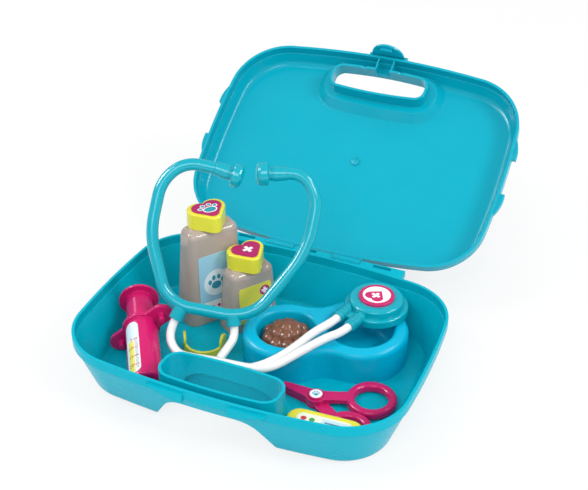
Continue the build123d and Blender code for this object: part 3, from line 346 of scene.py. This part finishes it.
# The syringe is moulded in magenta: a barrel with two finger wings, and a plunger with a
# round thumb disc that slides in it. A printed paper scale is stuck along the barrel.
syringe_magenta = moulded("syringe_magenta", "#D0186B", "#C71463", "#EC6BA3", 0.20, gleam=0.4)
coat(syringe_magenta, "syringe_barrel", "syringe_plunger")

scale_paper = moulded("syringe_scale_paper", "#F1F3F2", "#E6EBEC", "#FFFFFF", 0.40, edge_round=0.0002)
scale_up = Vector((-0.526, 0.842, 0.122))
scale_side = Vector((0.708, 0.354, 0.611))
scale_out = scale_side.cross(scale_up).normalized()
barrel_mouth = Vector((-0.1063, -0.0231, 0.0269))
mouth_to_scale = 0.0375
scale_centre = barrel_mouth - mouth_to_scale * scale_up
figure_heights = {"5": 9.0, "10": -1.0, "15": -11.0, "20": -21.0}
rung_spacing = 1.5
rung_thickness = 0.65
rungs_below = 40 * rung_spacing
bed = print_bed(scale_paper, scale_centre, scale_side, scale_up)
printed(scale_paper, strip(bed, 0, 20.0, 6.6, 10.0), "#D6E6F1")
printed(scale_paper, strip(bed, -0.8, -11.0, 2.9, 18.0), "#EDE25A")
tree = bed[0]
up = bed[2]
step = reckoned(tree, "MODULO", reckoned(tree, "ADD", up, rungs_below), rung_spacing)
rungs = reckoned(tree, "LESS_THAN", step, rung_thickness)
printed(scale_paper, reckoned(tree, "MULTIPLY", strip(bed, 4.2, -8.0, 1.5, 18.0), rungs), "#6F7C8C")
ticks = [strip(bed, 3.2, height, 2.4, 0.45) for height in figure_heights.values()]
printed(scale_paper, together(bed, *ticks), "#C8203F")
coat(scale_paper, "syringe_label")

# The figures are flat text wrapped round the paper, which is a little over 15 mm from the barrel's axis.
figure_ink = moulded("syringe_figure_ink", "#C8203F", "#BC1A38", "#D4546A", 0.40, edge_round=0.0001)
paper_round = 0.01506
figure_size = 0.0052
figure_edge = 0.0008
ink_thickness = 0.00003
for number, height in figure_heights.items():
    bpy.ops.object.text_add(location=(0, 0, 0))
    figure = bpy.context.object
    figure.data.body = number
    figure.data.size = figure_size
    figure.data.align_x = "RIGHT"
    figure.data.align_y = "CENTER"
    figure.data.extrude = ink_thickness
    bpy.ops.object.convert(target="MESH")
    figure = bpy.context.object
    figure.name = "syringe_figure_" + number
    for vertex in figure.data.vertices:
        turn = (vertex.co.x + figure_edge) / paper_round
        reach = paper_round + vertex.co.z
        vertex.co = (scale_centre + (vertex.co.y + height / 1000) * scale_up.normalized()
                     + reach * (sin(turn) * scale_side.normalized() + cos(turn) * scale_out))
    figure.data.materials.append(figure_ink)
    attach(figure, "case")
    bpy.ops.object.select_all(action="DESELECT")


# The scissors are two flat magenta mouldings, each a blunt blade and a ring. They turn on
# a snap-in pivot whose head carries a small round sticker with a paw print.
scissors_magenta = moulded("scissors_magenta", "#CB1869", "#C11361", "#EA6BA2", 0.20, gleam=0.4)
coat(scissors_magenta, "scissors_upper_half", "scissors_lower_half", "scissors_pivot")
pivot_paper = moulded("pivot_sticker_paper", "#F4F5F5", "#EBEFF0", "#FFFFFF", 0.38, edge_round=0.0002)
bed = print_bed(pivot_paper, middle_of("pivot_sticker"), (0.923, 0.384, 0), (-0.384, 0.923, 0))
printed(pivot_paper, paw(bed, 0, 0, 4.0), "#1E93B4")
coat(pivot_paper, "pivot_sticker")


# The thermometer is a flat yellow stick, two moulded shells snapped together. A printed
# paper window with two coloured dots and a scale is stuck on its top.
coat(cap_yellow, "thermometer")
window_paper = moulded("thermometer_paper", "#EDF0DC", "#E4E9D2", "#FFFFFF", 0.40, edge_round=0.0002)
stick_turn = radians(3)
stick_along = (cos(stick_turn), sin(stick_turn), 0)
stick_across = (-sin(stick_turn), cos(stick_turn), 0)
bed = print_bed(window_paper, middle_of("thermometer_label"), stick_along, stick_across)
reading_place = 9.5
printed(window_paper, strip(bed, reading_place, 0, 11.5, 4.2), "#BFDCE6")
printed(window_paper, strip(bed, reading_place, 0, 9.0, 0.8), "#4C7F96")
for place, ink in ((-17.0, "#C8353B"), (-10.0, "#4E9E4B")):
    printed(window_paper, oval(bed, place, 0, 2.4, 2.4), ink)
coat(window_paper, "thermometer_label")


# The collar band is a springy open ring moulded in yellow polyethylene, which clips round
# a toy pet's leg. It lies loose on the tray's floor.
band_yellow = moulded("band_yellow", "#DFDB3E", "#D2CD33", "#F0EE93", 0.28)
coat(band_yellow, "collar_band")


# The stethoscope's headset is glossy teal plastic: a wide yoke, two arms on each side and
# an ear tip on a collar at each end, pushed together at the sleeves.
headset_teal = moulded("headset_teal_gloss", "#00A4B6", "#009FB2", "#4FC8D8", 0.12, gleam=0.55,
                       edge_round=0.0005, skin=0.015)
coat(headset_teal, "headset_yoke", "left_middle_arm", "right_middle_arm", "left_upper_arm", "right_upper_arm",
     "left_ear_collar", "right_ear_collar", "left_ear_tip", "right_ear_tip", "tube_connector")


# The stethoscope's chest piece is a teal drum with a stepped cap pressed on. A magenta
# ring round a white disc with a heart is printed on the badge in the cap.
coat(headset_teal, "chest_body", "chest_cap")
chest_print = moulded("chest_print", "#C62169", "#BD1A61", "#E277A8", 0.26, edge_round=0.0004)
badge_white = "#F6F6F6"
bed = print_bed(chest_print, middle_of("chest_label"), (-0.943, 0.333, 0), (-0.333, -0.943, 0))
printed(chest_print, oval(bed, 0, 0, 12.3, 12.3), badge_white)
printed(chest_print, heart(bed, 0, 0.2, 17.5), "#C62169")
printed(chest_print, cross(bed, 0, 1.2, 4.0, 1.35), badge_white)
coat(chest_print, "chest_label")


# Two soft white PVC tubes are pushed into the sockets under the headset's yoke and into
# the ribbed sleeves at the chest piece. They lie over the bowl's rim and sag before it.
tube_white = moulded("tube_white_gloss", "#F0F0EE", "#E6E7E6", "#FFFFFF", 0.22, edge_round=0.0003, skin=0.02)
tube_diameter = 0.0075


def soft_tube(name, route, old_solid):
    """One soft tube through the points of its route, in metres."""
    line = bpy.data.curves.new(name, "CURVE")
    line.dimensions = "3D"
    run = line.splines.new("NURBS")
    run.points.add(len(route) - 1)
    for point, place in zip(run.points, route):
        point.co = (*place, 1.0)
    run.order_u = 3
    run.use_endpoint_u = True
    line.resolution_u = 14
    line.bevel_depth = tube_diameter / 2
    line.bevel_resolution = 6
    line.use_fill_caps = True
    line.materials.append(tube_white)
    tube = bpy.data.objects.new(name, line)
    bpy.context.collection.objects.link(tube)
    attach(tube, "case")
    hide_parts(old_solid)


soft_tube("left_white_tube",
          ((-0.07357, -0.0196, 0.04187), (-0.07582, -0.02568, 0.03427), (-0.0718, -0.0335, 0.0260),
           (-0.0600, -0.0415, 0.0235), (-0.0450, -0.0465, 0.0285), (-0.0260, -0.0502, 0.0345),
           (-0.0040, -0.0543, 0.0396), (0.0160, -0.0563, 0.0429), (0.0305, -0.0485, 0.0430),
           (0.0430, -0.0185, 0.0420), (0.0554, 0.0080, 0.0413), (0.0645, 0.0203, 0.0410),
           (0.06729, 0.02998, 0.0410)),
          "left_tube")
soft_tube("right_white_tube",
          ((-0.02566, -0.00291, 0.03707), (-0.02291, -0.0069, 0.02948), (-0.0244, -0.0190, 0.0250),
           (-0.0260, -0.0345, 0.0225), (-0.0190, -0.0440, 0.0233), (-0.0020, -0.0480, 0.0300),
           (0.0160, -0.0463, 0.0373), (0.0275, -0.0315, 0.0388), (0.0355, -0.0105, 0.0390),
           (0.0418, 0.0130, 0.0395), (0.0511, 0.0287, 0.0410), (0.05389, 0.03838, 0.0410)),
          "right_tube")


# A white studio floor lies under a bright, even sky, with soft lamps to the left, in front
# and to the right. The camera stands where the photograph was taken.
def looked_at(tree, sight):
    """Where a ray comes from the camera, a reflection or a clear piece."""
    mirrored = reckoned(tree, "MAXIMUM", sight.outputs["Is Glossy Ray"], sight.outputs["Is Transmission Ray"])
    return reckoned(tree, "MAXIMUM", sight.outputs["Is Camera Ray"], mirrored)


floor_size = 12.0
floor_glow_share = 0.76
bpy.ops.mesh.primitive_plane_add(size=floor_size, location=(0, 0, 0))
floor = bpy.context.object
floor.name = "studio_floor"
floor_white = bpy.data.materials.new("studio_floor_white")
floor_white.use_nodes = True
tree = floor_white.node_tree
board = tree.nodes["Principled BSDF"]
board.inputs["Base Color"].default_value = (0.82, 0.82, 0.82, 1.0)
board.inputs["Roughness"].default_value = 0.8
glow = tree.nodes.new("ShaderNodeEmission")
glow.inputs["Strength"].default_value = 1.0
sight = tree.nodes.new("ShaderNodeLightPath")
cover = tree.nodes.new("ShaderNodeMixShader")
tree.links.new(reckoned(tree, "MULTIPLY", looked_at(tree, sight), floor_glow_share), cover.inputs[0])
tree.links.new(board.outputs[0], cover.inputs[1])
tree.links.new(glow.outputs[0], cover.inputs[2])
tree.links.new(cover.outputs[0], tree.nodes["Material Output"].inputs["Surface"])
floor.data.materials.append(floor_white)

sky_light = 0.9
sky_dimming = 0.6
world = bpy.data.worlds.new("studio")
bpy.context.scene.world = world
world.use_nodes = True
tree = world.node_tree
sky = tree.nodes["Background"]
sky.inputs["Color"].default_value = (1, 1, 1, 1)
sky.inputs["Strength"].default_value = sky_light
backdrop = tree.nodes.new("ShaderNodeBackground")
backdrop.inputs["Color"].default_value = (1, 1, 1, 1)
sight = tree.nodes.new("ShaderNodeLightPath")
# Reflections see a dimmer sky, so that the lamps' gleams stand out on the plastic.
dimmed = reckoned(tree, "MULTIPLY", sight.outputs["Is Glossy Ray"], sky_dimming)
tree.links.new(reckoned(tree, "SUBTRACT", 1.0, dimmed), backdrop.inputs["Strength"])
cover = tree.nodes.new("ShaderNodeMixShader")
tree.links.new(looked_at(tree, sight), cover.inputs[0])
tree.links.new(sky.outputs[0], cover.inputs[1])
tree.links.new(backdrop.outputs[0], cover.inputs[2])
tree.links.new(cover.outputs[0], tree.nodes["World Output"].inputs["Surface"])


def soft_lamp(name, place, aim, size, power):
    """A square soft lamp that looks at a point."""
    light = bpy.data.lights.new(name, "AREA")
    light.shape = "SQUARE"
    light.size = size
    light.energy = power
    lamp = bpy.data.objects.new(name, light)
    bpy.context.collection.objects.link(lamp)
    lamp.location = place
    lamp.rotation_euler = (Vector(aim) - Vector(place)).to_track_quat("-Z", "Y").to_euler()
    return lamp


soft_lamp("main_lamp", (-1.0, -0.6, 1.7), (0, 0.05, 0.05), 0.4, 5.0)
soft_lamp("side_lamp", (-1.6, 0.8, 1.1), (0, 0.1, 0.1), 0.35, 3.5)
soft_lamp("front_lamp", (0.3, -1.4, 1.5), (0, 0.05, 0.03), 0.9, 10.0)
soft_lamp("fill_lamp", (1.5, -0.1, 1.4), (0, 0.05, 0.05), 0.5, 12.0)
# These two light nothing and show only as gleams.
for name, place, size, power in (("shine_left", (-1.5, -0.35, 1.15), 0.7, 32.0),
                                 ("shine_right", (1.2, 0.6, 1.5), 0.5, 14.0)):
    shine = soft_lamp(name, place, (0, 0.05, 0.08), size, power)
    shine.visible_diffuse = False

# The camera was solved from the outlines of the case's rim and foot in the photograph.
photo_width_in_pixels = 588
photo_focal_in_pixels = 1173.3148
camera_place = (0.333148, -0.731629, 0.649757)
camera_turn = radians(22.5989)
camera_drop = radians(33.1093)
camera_roll = radians(0.46374)
scene = bpy.context.scene
view = bpy.data.cameras.new("camera")
view.sensor_width = 36.0
view.lens = view.sensor_width * photo_focal_in_pixels / photo_width_in_pixels
view.clip_start = 0.01
camera = bpy.data.objects.new("camera", view)
scene.collection.objects.link(camera)
camera.location = camera_place
turned = Euler((0, 0, camera_turn)).to_matrix()
tilted = Euler((radians(90) - camera_drop, 0, 0)).to_matrix()
rolled = Euler((0, 0, camera_roll)).to_matrix()
camera.rotation_euler = (turned @ tilted @ rolled).to_euler()
scene.camera = camera
scene.view_settings.view_transform = "Standard"
